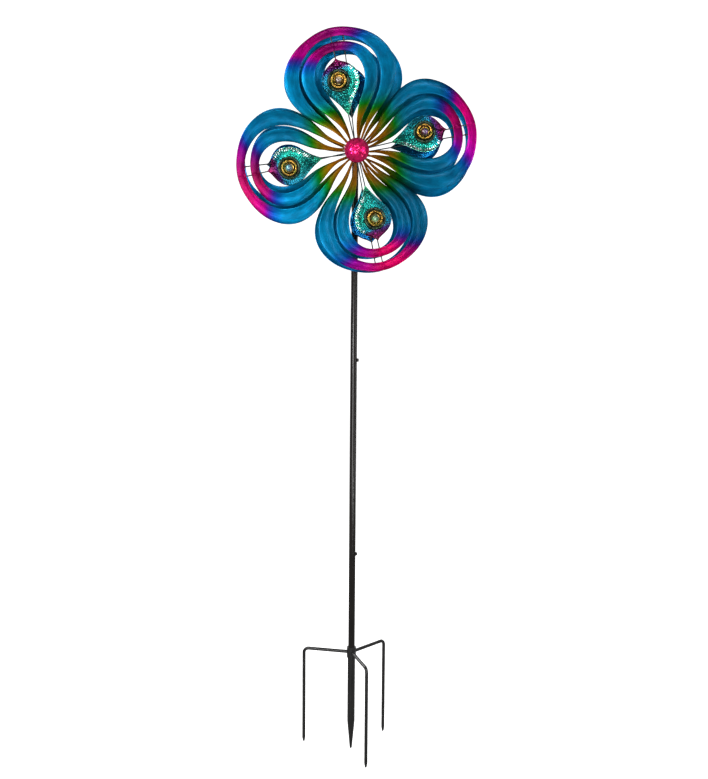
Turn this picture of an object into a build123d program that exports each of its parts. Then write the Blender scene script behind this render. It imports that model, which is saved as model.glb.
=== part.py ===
from build123d import *
import os
from math import sin, cos, tan, atan, radians, degrees, pi, sqrt

os.makedirs("parts", exist_ok=True)

# ---------------------------------------------------------------- frame
# Origin: pole axis at the ground line (underside of the stake collar).
# +Z up the pole, -Y is the front (the decorated side of the front rotor).

# ---------------------------------------------------------------- sizes (mm)
HUB_Z = 1345.0            # height of the rotor axle above the ground line
FRONT_Y = -104.0          # mid plane of the front rotor
REAR_Y = -48.0            # mid plane of the rear rotor
# lobe directions, degrees up from +X; the rear lobes are set by hand and sit a
# degree or two off the quarter turns
FRONT_ANGLES = (13.7, 103.7, 193.7, 283.7)
REAR_ANGLES = (10.3, 96.6, 187.4, 280.6)

U = 2.479                 # mm per unit of the lobe outline tables below
SHEET = 0.9               # sheet thickness of the loops
PITCH = 0.14              # sideways slope of a lobe (one side forward, one back)

EYE_Y = 175.5             # radius at which the eye's boss sits
EYE_X = -4.0              # boss offset towards the low side of the lobe
DISH_Y = 179.2            # centre of the teardrop plate's dishing
EYE_R = 650.0             # spherical dishing radius of the teardrop plate
EYE_T = 1.2               # teardrop plate thickness
EYE_APEX = 7.3            # crown of the teardrop plate in front of the mid plane
ROD_R = 1.5               # support rod radius
ROD_W = -2.45             # support rod centre, behind the mid plane
ROD_Y0 = 20.0             # inner end of the rod, cut back to the hub disc's rim
ROD_Y1 = 300.0            # outer end of the rod, under the outer loop

HUB_PLATE_R = 21.0        # loop stems and rods are welded to this disc's rim
HUB_PLATE_FRONT = 3.2     # disc faces, in front of and behind the mid plane
HUB_PLATE_BACK = 4.2
SLEEVE_R = 9.0
SLEEVE_BORE_R = 6.0
AXLE_R = 4.0
BUSH_CLEAR = 0.05         # running clearance between bush and axle
DOME_R = 31.0
DOME_H = 18.5
DOME_T = 1.2

POLE_R = 9.0
POLE_WALL = 1.2
SPIGOT_R = 7.75
SPIGOT_L = 45.0
JOINT_LOW_Z = 299.0       # seam between lower and middle pole sections
JOINT_HIGH_Z = 824.0      # seam between middle and upper pole sections
SCREW_DROP = 12.0         # joint screws sit this far below the seam
POLE_TOP_Z = 1361.0
POLE_FOOT_Z = -118.0      # the lower section ends this deep in the stake

STAKE_R = 10.3
STAKE_R_IN_COLLAR = 10.0
STAKE_BORE_R = 9.1
STAKE_CYL = 178.0         # straight part of the stake below the ground line
STAKE_TIP_Z = -258.0
COLLAR_R = 12.6
COLLAR_H = 30.0

PRONG_ROD_R = 4.5
PRONG_RADIUS = 134.0      # pole axis to prong axis
PRONG_ARM_Z = 15.0
PRONG_BEND = 13.0
PRONG_TIP_Z = -251.0
PRONG_ANGLES = {"prong_left": 165.2, "prong_right": 45.2, "prong_front": -74.8}

# outline of one lobe, right half: (outer edge | inner edge) stations that run
# from the hub to the outer end, in units of U along (sideways, outward)
OUTER_LOOP = [
    ((5.16, 5.56), (3.60, 6.44)), ((5.85, 6.55), (4.25, 7.45)), ((9.3, 11.5), (7.5, 12.5)),
    ((13.4, 17.2), (11.2, 18.7)), ((18.6, 23.3), (15.8, 25.9)),
    ((24.6, 28.9), (20.6, 32.2)), ((31.8, 34.6), (25.4, 38.6)),
    ((39.6, 41.3), (30.6, 45.8)), ((46.4, 48.8), (34.9, 53.0)),
    ((51.4, 56.6), (38.2, 60.0)), ((55.0, 64.2), (40.3, 66.6)),
    ((57.0, 71.9), (41.3, 73.0)), ((57.2, 79.8), (41.2, 79.8)),
    ((55.5, 88.0), (39.8, 86.8)), ((51.9, 95.8), (36.9, 93.6)),
    ((46.6, 103.2), (32.4, 99.9)), ((39.6, 109.8), (26.8, 105.4)),
    ((31.0, 115.3), (20.4, 109.8)), ((21.0, 119.7), (13.6, 112.8)),
    ((10.6, 122.7), (6.8, 114.4)), ((0.0, 123.8), (0.0, 114.8)),
]
INNER_LOOP = [
    ((3.62, 6.49), (1.84, 6.99)), ((3.95, 7.75), (2.15, 8.25)), ((5.3, 12.9), (3.4, 13.4)),
    ((6.5, 17.5), (4.1, 18.3)), ((8.2, 21.9), (5.1, 23.1)),
    ((10.2, 26.0), (6.3, 27.7)), ((12.9, 30.2), (7.8, 32.6)),
    ((16.4, 34.8), (9.7, 38.0)), ((20.4, 39.6), (12.1, 43.5)),
    ((24.9, 45.0), (15.2, 48.9)), ((29.4, 50.8), (18.5, 54.0)),
    ((33.3, 57.2), (21.4, 59.4)), ((36.3, 64.2), (23.5, 65.0)),
    ((38.1, 71.6), (24.9, 71.2)), ((38.6, 79.0), (25.2, 77.6)),
    ((37.4, 86.3), (24.0, 84.0)), ((34.2, 93.0), (21.2, 89.9)),
    ((29.2, 98.8), (17.3, 94.5)), ((23.0, 103.3), (13.1, 97.5)),
    ((15.8, 106.7), (8.8, 99.3)), ((8.0, 108.8), (4.4, 100.2)),
    ((0.0, 109.4), (0.0, 100.5)),
]
# teardrop, right half, from the inner tip to the outer tip
TEARDROP = [
    (0.0, 35.5), (1.3, 38.0), (3.2, 41.6), (5.6, 45.8), (8.6, 50.2),
    (12.2, 54.8), (15.7, 59.5), (18.1, 64.6), (19.0, 70.2), (18.5, 75.6),
    (16.2, 80.3), (12.6, 84.2), (8.4, 87.1), (4.6, 89.2), (1.8, 91.2),
    (0.0, 93.3),
]


def band(table, slope):
    """One stamped loop: a flat strip that leaves the hub, runs round the lobe
    and comes back, tilted about the lobe's own axis, as one closed solid."""
    outer = [(o[0] * U, o[1] * U) for (o, i) in table]
    inner = [(i[0] * U, i[1] * U) for (o, i) in table]
    outer += [(-x, y) for (x, y) in outer[-2::-1]]
    inner += [(-x, y) for (x, y) in inner[-2::-1]]
    face = make_face([
        Spline(*outer), Line(outer[-1], inner[-1]),
        Spline(*inner), Line(inner[0], outer[0])])
    strip = Rot(0, -degrees(atan(slope)), 0) * extrude(Pos(0, 0, -SHEET) * face, SHEET, dir=(0, 0, 1))
    return strip - Pos(0, 0, -20) * Cylinder(
        HUB_PLATE_R, 40, align=(Align.CENTER, Align.CENTER, Align.MIN))


def teardrop_face():
    pts = [(x * U, y * U) for (x, y) in TEARDROP]
    right = Spline(*pts)
    left = Spline(*[(-x, y) for (x, y) in pts])
    return make_face([right, left])


def ball(radius):
    """Sphere about the eye's dishing centre, poles kept off the plate."""
    return Pos(0, DISH_Y, EYE_APEX - EYE_R) * Rot(90, 0, 0) * Sphere(radius)


def eye_plate(slope):
    prism = extrude(Pos(0, 0, -12) * teardrop_face(), 30, dir=(0, 0, 1))
    plate = (prism & ball(EYE_R)) - ball(EYE_R - EYE_T)
    return Rot(0, -degrees(atan(slope)), 0) * plate


def eye_ring(slope):
    """Turned boss: broad dark ring with a raised inner ring and a seat."""
    w = EYE_APEX
    prof = [(0, w - 6), (27.5, w - 6), (27.5, w + 2.2), (26.6, w + 4.2), (24.0, w + 5.0),
            (21.6, w + 4.2), (21.0, w + 4.6), (20.2, w + 7.6), (18.0, w + 9.4),
            (15.2, w + 9.2), (13.2, w + 6.6), (12.2, w + 4.4), (9.4, w + 3.6), (0, w + 3.6)]
    ring = Pos(EYE_X, EYE_Y, 0) * revolve(
        Plane.XZ * make_face(Polyline(*prof, close=True)), Axis.Z)
    ring = ring - ball(EYE_R)
    return Rot(0, -degrees(atan(slope)), 0) * ring


def jewel(slope):
    """Low cabochon on the boss's seat."""
    w = EYE_APEX + 3.6
    prof = [(0, w), (8.6, w), (8.6, w + 2.0), (8.0, w + 4.2), (6.4, w + 6.4),
            (4.0, w + 7.9), (1.6, w + 8.5), (0, w + 8.6)]
    gem = Pos(EYE_X, EYE_Y, 0) * revolve(
        Plane.XZ * make_face(Polyline(*prof, close=True)), Axis.Z)
    return Rot(0, -degrees(atan(slope)), 0) * gem


def support_rod():
    rod = Pos(0, ROD_Y0, ROD_W) * Rot(-90, 0, 0) * Cylinder(
        ROD_R, ROD_Y1 - ROD_Y0, align=(Align.CENTER, Align.CENTER, Align.MIN))
    return rod - Pos(0, 0, -20) * Cylinder(
        HUB_PLATE_R, 40, align=(Align.CENTER, Align.CENTER, Align.MIN))


def lobe_place(angle, y, facing):
    """Location of a lobe's own frame. facing -1: decorated side to the front,
    +1: decorated side to the back."""
    a = radians(angle)
    if facing < 0:
        pl = Plane(origin=(0, y, HUB_Z), x_dir=(sin(a), 0, -cos(a)), z_dir=(0, -1, 0))
    else:
        pl = Plane(origin=(0, y, HUB_Z), x_dir=(-sin(a), 0, cos(a)), z_dir=(0, 1, 0))
    return pl.location


def ydisc(r, y_from, y_to):
    """Disc or rod along Y about the axle, between two Y positions."""
    lo, hi = min(y_from, y_to), max(y_from, y_to)
    return Pos(0, lo, HUB_Z) * Rot(-90, 0, 0) * Cylinder(
        r, hi - lo, align=(Align.CENTER, Align.CENTER, Align.MIN))


def yhex(af, y_from, y_to):
    lo, hi = min(y_from, y_to), max(y_from, y_to)
    hexa = extrude(RegularPolygon(af / 2.0, 6, major_radius=False), hi - lo)
    return Pos(0, lo, HUB_Z) * Rot(-90, 0, 0) * hexa


def save(shape, name):
    shape.label = name
    export_step(shape, "parts/%s.step" % name)


def group(solids):
    flat = []
    for s in solids:
        flat += list(s.solids())
    return Compound(children=flat)


# ================================================================ rotors
for side, y0, facing, slope, angles in (
        ("front", FRONT_Y, -1, PITCH, FRONT_ANGLES),
        ("rear", REAR_Y, 1, -PITCH, REAR_ANGLES)):
    outer = band(OUTER_LOOP, slope)
    inner = band(INNER_LOOP, slope)
    plate, ring, gem, rod = eye_plate(slope), eye_ring(slope), jewel(slope), support_rod()
    rings, gems, rods = [], [], []
    for k in range(4):
        loc = lobe_place(angles[k], y0, facing)
        save(loc * outer, "%s_outer_loop_%d" % (side, k + 1))
        save(loc * inner, "%s_inner_loop_%d" % (side, k + 1))
        save(loc * plate, "%s_eye_plate_%d" % (side, k + 1))
        rings.append(loc * ring)
        gems.append(loc * gem)
        rods.append(loc * rod)
    save(group(rings), "%s_eye_rings" % side)
    save(group(gems), "%s_eye_jewels" % side)
    save(group(rods), "%s_support_rods" % side)

    # hub: disc between the loop stems, sleeve through it, two flanged bushes
    f = facing                      # +1 or -1 along Y, towards the decorated side
    back = y0 - f * HUB_PLATE_BACK
    front = y0 + f * HUB_PLATE_FRONT
    hub_plate = ydisc(HUB_PLATE_R, back, front) - ydisc(SLEEVE_R, y0 - 20, y0 + 20)
    save(hub_plate, "%s_hub_plate" % side)
    s0, s1 = y0 + 14.0 * 1, y0 - 7.0     # sleeve ends, rear and front
    sleeve = ydisc(SLEEVE_R, s0, s1) - ydisc(SLEEVE_BORE_R, s0 + 5, s1 - 5)
    save(sleeve, "%s_hub_sleeve" % side)
    bushes = []
    for (face, d) in ((s0, 1.0), (s1, -1.0)):
        b = ydisc(SLEEVE_BORE_R, face, face - d * 7.0) + ydisc(8.0, face, face + d * 1.5)
        b = b - ydisc(AXLE_R + BUSH_CLEAR, face + d * 5, face - d * 12)
        bushes.append(b)
    save(group(bushes), "%s_bushes" % side)

# ---- front cap: domed shell over the front hub, held on a clip disc
rim_y = FRONT_Y - 4.2

def cap_of_sphere(r, h):
    """Ball whose cap above z = 0 has rim radius r and height h."""
    rc = (r * r + h * h) / (2.0 * h)
    return Pos(0, 0, h - rc) * Rot(0, 90, 0) * Sphere(rc)


cap = cap_of_sphere(DOME_R, DOME_H) - cap_of_sphere(DOME_R - DOME_T, DOME_H - DOME_T)
cap = cap & Box(100, 100, 60, align=(Align.CENTER, Align.CENTER, Align.MIN))
save(Pos(0, rim_y, HUB_Z) * Rot(90, 0, 0) * cap, "front_dome_cap")
clip = ydisc(DOME_R - DOME_T - 0.6, rim_y, rim_y - 0.8) - ydisc(SLEEVE_R, rim_y + 5, rim_y - 5)
save(clip, "front_cap_clip")

# ================================================================ axle and head
axle_front = FRONT_Y - 7.0 - 1.5 - 0.2 - 1.3 - 6.0 - 2.0
axle = ydisc(AXLE_R, 26.0, axle_front)
axle = chamfer(axle.edges().filter_by(GeomType.CIRCLE), 0.6)
save(axle, "axle")

SOCKET_R = 7.0
socket = ydisc(SOCKET_R, 14.0, -16.0) - ydisc(AXLE_R, 20.0, -20.0)
save(socket, "axle_socket")

washers = [
    ydisc(8.0, 14.0, 15.6) - ydisc(AXLE_R, 13, 17),
    ydisc(8.0, -16.0, -17.6) - ydisc(AXLE_R, -15, -19),
    ydisc(7.6, FRONT_Y - 8.7, FRONT_Y - 10.0) - ydisc(AXLE_R, FRONT_Y - 8, FRONT_Y - 11),
]
save(group(washers), "axle_washers")
save(yhex(13.0, 15.6, 22.4) - ydisc(AXLE_R, 15, 23), "axle_rear_nut")
save(yhex(13.0, -17.6, -24.4) - ydisc(AXLE_R, -17, -25), "axle_lock_nut")
save(yhex(13.0, FRONT_Y - 10.0, FRONT_Y - 16.0) - ydisc(AXLE_R, FRONT_Y - 9, FRONT_Y - 17),
     "axle_front_nut")
save(ydisc(6.5, -24.4, REAR_Y + 15.7) - ydisc(AXLE_R, -20, -40), "rear_spacer")
save(ydisc(6.5, REAR_Y - 8.7, FRONT_Y + 15.7) - ydisc(AXLE_R, -50, -100), "rotor_spacer")


# ================================================================ pole
def tube(r_out, r_in, z0, z1):
    t = Pos(0, 0, z0) * Cylinder(r_out, z1 - z0, align=(Align.CENTER, Align.CENTER, Align.MIN))
    if r_in > 0:
        t = t - Pos(0, 0, z0 - 1) * Cylinder(
            r_in, z1 - z0 + 2, align=(Align.CENTER, Align.CENTER, Align.MIN))
    return t


def cross_x(r, z, x0, x1):
    return Pos(x0, 0, z) * Rot(0, 90, 0) * Cylinder(
        r, x1 - x0, align=(Align.CENTER, Align.CENTER, Align.MIN))


pole_bore = POLE_R - POLE_WALL
screw_low_z, screw_high_z = JOINT_LOW_Z - SCREW_DROP, JOINT_HIGH_Z - SCREW_DROP
SCREW_R = 2.5

lower = tube(POLE_R, pole_bore, POLE_FOOT_Z, JOINT_LOW_Z)
lower = lower - cross_x(SCREW_R, screw_low_z, 0, 12)
save(lower, "pole_lower")


def upper_section(z_seam, z_top):
    """Tube with a reduced spigot that plugs into the section below."""
    s = tube(POLE_R, pole_bore, z_seam, z_top)
    spigot = tube(SPIGOT_R, SPIGOT_R - POLE_WALL, z_seam - SPIGOT_L, z_seam + 3)
    neck = tube(pole_bore, SPIGOT_R - POLE_WALL, z_seam, z_seam + 3)
    return s + spigot + neck


middle = upper_section(JOINT_LOW_Z, JOINT_HIGH_Z)
middle = middle - cross_x(SCREW_R, screw_low_z, 0, 12) - cross_x(SCREW_R, screw_high_z, 0, 12)
save(middle, "pole_middle")
upper = upper_section(JOINT_HIGH_Z, POLE_TOP_Z)
upper = upper - cross_x(SCREW_R, screw_high_z, 0, 12) - ydisc(SOCKET_R, 12, -12)
save(upper, "pole_upper")

plug = tube(pole_bore, 0, POLE_TOP_Z - 8, POLE_TOP_Z) + tube(POLE_R, 0, POLE_TOP_Z, POLE_TOP_Z + 2.5)
plug = plug - ydisc(SOCKET_R, 12, -12)
plug = fillet(plug.edges().group_by(Axis.Z)[-1], 1.5)
save(plug, "pole_top_plug")

screws = []
for z in (screw_low_z, screw_high_z):
    shank = cross_x(SCREW_R, z, 4.6, 9.6)
    collar = cross_x(5.2, z, 9.05, 10.0)
    head = cross_x(4.4, z, 10.0, 13.6)
    head = chamfer(head.edges().filter_by(GeomType.CIRCLE).sort_by(Axis.X)[-1], 0.8)
    screws.append(shank + collar + head)
save(group(screws), "pole_joint_screws")

# ================================================================ ground stake
outline = [(0, COLLAR_H), (STAKE_R_IN_COLLAR, COLLAR_H), (STAKE_R_IN_COLLAR, 0), (STAKE_R, 0),
           (STAKE_R, -STAKE_CYL), (3.2, STAKE_TIP_Z + 4.0), (1.4, STAKE_TIP_Z + 0.8),
           (0, STAKE_TIP_Z)]
stake = revolve(Plane.XZ * make_face(Polyline(*outline, close=True)), Axis.Z)
stake = stake - Pos(0, 0, POLE_FOOT_Z - 2) * Cylinder(
    STAKE_BORE_R, 300, align=(Align.CENTER, Align.CENTER, Align.MIN))
save(stake, "ground_stake")

collar = tube(COLLAR_R, STAKE_R_IN_COLLAR, 0, COLLAR_H)
collar = chamfer(collar.edges().filter_by(GeomType.CIRCLE).group_by(SortBy.RADIUS)[-1], 0.8)
save(collar, "stake_collar")

for name, ang in PRONG_ANGLES.items():
    r0, rb = COLLAR_R - 1.5, PRONG_RADIUS - PRONG_BEND
    zb = PRONG_ARM_Z - PRONG_BEND
    path = Wire([
        Edge.make_line((r0, 0, PRONG_ARM_Z), (rb, 0, PRONG_ARM_Z)),
        Edge.make_three_point_arc(
            (rb, 0, PRONG_ARM_Z),
            (rb + PRONG_BEND * sin(pi / 4), 0, zb + PRONG_BEND * cos(pi / 4)),
            (PRONG_RADIUS, 0, zb)),
        Edge.make_line((PRONG_RADIUS, 0, zb), (PRONG_RADIUS, 0, PRONG_TIP_Z + 12.0))])
    rod = sweep(Plane(origin=(r0, 0, PRONG_ARM_Z), z_dir=(1, 0, 0)) * Circle(PRONG_ROD_R), path=path)
    tip = Pos(PRONG_RADIUS, 0, PRONG_TIP_Z) * Cone(
        2.2, PRONG_ROD_R, 12.0, align=(Align.CENTER, Align.CENTER, Align.MIN))
    tip = fillet(tip.edges().group_by(Axis.Z)[0], 1.6)
    prong = rod + tip - Cylinder(COLLAR_R, 100)
    save(Rot(0, 0, ang) * prong, name)
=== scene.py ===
import math

import bpy
import numpy as np
from mathutils import Matrix, Vector


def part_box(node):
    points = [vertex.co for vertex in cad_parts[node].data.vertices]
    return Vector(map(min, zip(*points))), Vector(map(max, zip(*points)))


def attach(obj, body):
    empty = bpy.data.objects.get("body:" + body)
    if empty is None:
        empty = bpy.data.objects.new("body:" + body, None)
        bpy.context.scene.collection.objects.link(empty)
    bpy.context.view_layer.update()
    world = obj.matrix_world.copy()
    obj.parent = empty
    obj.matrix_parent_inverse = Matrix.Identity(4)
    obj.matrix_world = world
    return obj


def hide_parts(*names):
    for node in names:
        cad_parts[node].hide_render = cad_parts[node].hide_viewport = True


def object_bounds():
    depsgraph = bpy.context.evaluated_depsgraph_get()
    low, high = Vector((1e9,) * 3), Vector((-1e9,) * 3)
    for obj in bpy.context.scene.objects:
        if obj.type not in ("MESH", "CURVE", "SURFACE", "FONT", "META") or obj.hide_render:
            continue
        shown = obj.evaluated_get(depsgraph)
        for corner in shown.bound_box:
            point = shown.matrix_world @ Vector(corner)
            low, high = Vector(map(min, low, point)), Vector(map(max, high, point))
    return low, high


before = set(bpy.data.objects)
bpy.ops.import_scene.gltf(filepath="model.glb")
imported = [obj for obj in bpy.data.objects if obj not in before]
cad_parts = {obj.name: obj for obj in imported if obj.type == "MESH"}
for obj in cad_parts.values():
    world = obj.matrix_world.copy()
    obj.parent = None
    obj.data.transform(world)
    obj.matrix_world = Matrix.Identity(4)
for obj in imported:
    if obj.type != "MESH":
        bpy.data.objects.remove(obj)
size_before = [list(c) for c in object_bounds()]
scene = bpy.context.scene
rng = np.random.default_rng(20)

# ------------------------------------------------------------------ sizes (m)
U = 0.002479                      # one unit of the outline tables
SLOPE = 0.14
SHEET = 0.0009
EYE_X, EYE_Y, DISH_Y, EYE_R, EYE_APEX = -0.0040, 0.1755, 0.1792, 0.650, 0.0073
GAIN = 0.52                       # lacquer tints are lifted for a dim studio
DOME_LO, DOME_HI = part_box("front_dome_cap")
HUB_X = 0.5 * (DOME_LO.x + DOME_HI.x)
HUB_Z = 0.5 * (DOME_LO.z + DOME_HI.z)
fp_lo, fp_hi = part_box("front_hub_plate")
rp_lo, rp_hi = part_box("rear_hub_plate")
FRONT_Y = fp_hi.y - 0.0042        # mid plane of each rotor
REAR_Y = rp_lo.y + 0.0042

OUTER_LOOP = [
    ((5.16, 5.56), (3.60, 6.44)), ((5.85, 6.55), (4.25, 7.45)), ((9.3, 11.5), (7.5, 12.5)),
    ((13.4, 17.2), (11.2, 18.7)), ((18.6, 23.3), (15.8, 25.9)),
    ((24.6, 28.9), (20.6, 32.2)), ((31.8, 34.6), (25.4, 38.6)),
    ((39.6, 41.3), (30.6, 45.8)), ((46.4, 48.8), (34.9, 53.0)),
    ((51.4, 56.6), (38.2, 60.0)), ((55.0, 64.2), (40.3, 66.6)),
    ((57.0, 71.9), (41.3, 73.0)), ((57.2, 79.8), (41.2, 79.8)),
    ((55.5, 88.0), (39.8, 86.8)), ((51.9, 95.8), (36.9, 93.6)),
    ((46.6, 103.2), (32.4, 99.9)), ((39.6, 109.8), (26.8, 105.4)),
    ((31.0, 115.3), (20.4, 109.8)), ((21.0, 119.7), (13.6, 112.8)),
    ((10.6, 122.7), (6.8, 114.4)), ((0.0, 123.8), (0.0, 114.8)),
]
INNER_LOOP = [
    ((3.62, 6.49), (1.84, 6.99)), ((3.95, 7.75), (2.15, 8.25)), ((5.3, 12.9), (3.4, 13.4)),
    ((6.5, 17.5), (4.1, 18.3)), ((8.2, 21.9), (5.1, 23.1)),
    ((10.2, 26.0), (6.3, 27.7)), ((12.9, 30.2), (7.8, 32.6)),
    ((16.4, 34.8), (9.7, 38.0)), ((20.4, 39.6), (12.1, 43.5)),
    ((24.9, 45.0), (15.2, 48.9)), ((29.4, 50.8), (18.5, 54.0)),
    ((33.3, 57.2), (21.4, 59.4)), ((36.3, 64.2), (23.5, 65.0)),
    ((38.1, 71.6), (24.9, 71.2)), ((38.6, 79.0), (25.2, 77.6)),
    ((37.4, 86.3), (24.0, 84.0)), ((34.2, 93.0), (21.2, 89.9)),
    ((29.2, 98.8), (17.3, 94.5)), ((23.0, 103.3), (13.1, 97.5)),
    ((15.8, 106.7), (8.8, 99.3)), ((8.0, 108.8), (4.4, 100.2)),
    ((0.0, 109.4), (0.0, 100.5)),
]
TEARDROP = [
    (0.0, 35.5), (1.3, 38.0), (3.2, 41.6), (5.6, 45.8), (8.6, 50.2),
    (12.2, 54.8), (15.7, 59.5), (18.1, 64.6), (19.0, 70.2), (18.5, 75.6),
    (16.2, 80.3), (12.6, 84.2), (8.4, 87.1), (4.6, 89.2), (1.8, 91.2),
    (0.0, 93.3),
]
BODY = {"front": "front_rotor", "rear": "rear_rotor"}
FACING = {"front": -1.0, "rear": 1.0}
MID_Y = {"front": FRONT_Y, "rear": REAR_Y}
TILT = {"front": math.atan(SLOPE), "rear": -math.atan(SLOPE)}
ANGLES = {"front": (13.7, 103.7, 193.7, 283.7), "rear": (10.3, 96.6, 187.4, 280.6)}


# ------------------------------------------------------------------ helpers
def lin(rgb):
    """8-bit sRGB to linear."""
    c = np.asarray(rgb, float) / 255.0
    return np.where(c <= 0.04045, c / 12.92, ((c + 0.055) / 1.055) ** 2.4)


def keyed(t, keys):
    """Piecewise linear colour through (position, sRGB) keys, in linear light."""
    pos = np.array([k[0] for k in keys], float)
    col = np.array([lin(k[1]) ** 0.5 for k in keys])
    return np.stack([np.interp(t, pos, col[:, i]) for i in range(3)], -1) ** 2


def catmull(pts, t):
    """Catmull-Rom curve through pts, t in station units."""
    p = np.asarray(pts, float)
    n = len(p)
    i = np.clip(np.floor(t).astype(int), 0, n - 2)
    f = (t - i)[:, None]
    g = lambda j: p[np.clip(j, 0, n - 1)]
    p0, p1, p2, p3 = g(i - 1), g(i), g(i + 1), g(i + 2)
    p0 = np.where((i == 0)[:, None], 2 * p1 - p2, p0)
    p3 = np.where((i == n - 2)[:, None], 2 * p2 - p1, p3)
    return 0.5 * ((2 * p1) + (p2 - p0) * f + (2 * p0 - 5 * p1 + 4 * p2 - p3) * f ** 2
                  + (3 * p1 - p0 - 3 * p2 + p3) * f ** 3)


def waves(x, seed, count=6, lo=0.5, hi=3.0):
    """Smooth seeded 1-D noise, about -1 to 1."""
    r = np.random.default_rng(seed)
    out = np.zeros_like(x, float)
    for _ in range(count):
        out += np.sin(x * r.uniform(lo, hi) * 2 * math.pi + r.uniform(0, 6.283)) * r.uniform(0.5, 1.0)
    return out / (count * 0.55)


def tilt(v, angle):
    """Turns lobe-local points about the lobe's own axis, as the part does."""
    x, y, w = v[:, 0], v[:, 1], v[:, 2]
    c, s = math.cos(angle), math.sin(angle)
    return np.stack([x * c - w * s, y, x * s + w * c], -1)


def place(v, side, k):
    """Lobe-local points (sideways, outward, towards the decorated side) to the row frame."""
    a = math.radians(ANGLES[side][k])
    f = FACING[side]
    p = np.array([math.sin(a), 0, -math.cos(a)]) * (-f)
    o = np.array([math.cos(a), 0, math.sin(a)])
    n = np.array([0, f, 0])
    return (np.array([HUB_X, MID_Y[side], HUB_Z]) + v[:, :1] * p + v[:, 1:2] * o + v[:, 2:3] * n)


def make(name, verts, faces, mat, body, replaces=(), tint=None, flow=None,
         smooth=True, mat_index=None):
    me = bpy.data.meshes.new(name)
    me.from_pydata([tuple(v) for v in np.asarray(verts, float)], [], [tuple(f) for f in faces])
    me.update()
    if tint is not None:
        a = me.attributes.new("tint", "FLOAT_COLOR", "POINT")
        a.data.foreach_set("color", np.concatenate(
            [tint, np.ones((len(tint), 1))], 1).astype(np.float32).ravel())
    if flow is not None:
        a = me.attributes.new("flow", "FLOAT_VECTOR", "POINT")
        a.data.foreach_set("vector", np.asarray(flow, np.float32).ravel())
    for m in (mat if isinstance(mat, (list, tuple)) else [mat]):
        me.materials.append(m)
    if smooth:
        me.polygons.foreach_set("use_smooth", np.ones(len(me.polygons), bool))
    if mat_index is not None:
        me.polygons.foreach_set("material_index", np.asarray(mat_index, np.int32))
    me.validate()
    ob = bpy.data.objects.new(name, me)
    scene.collection.objects.link(ob)
    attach(ob, body)
    if replaces:
        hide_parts(*replaces)
    return ob


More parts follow.
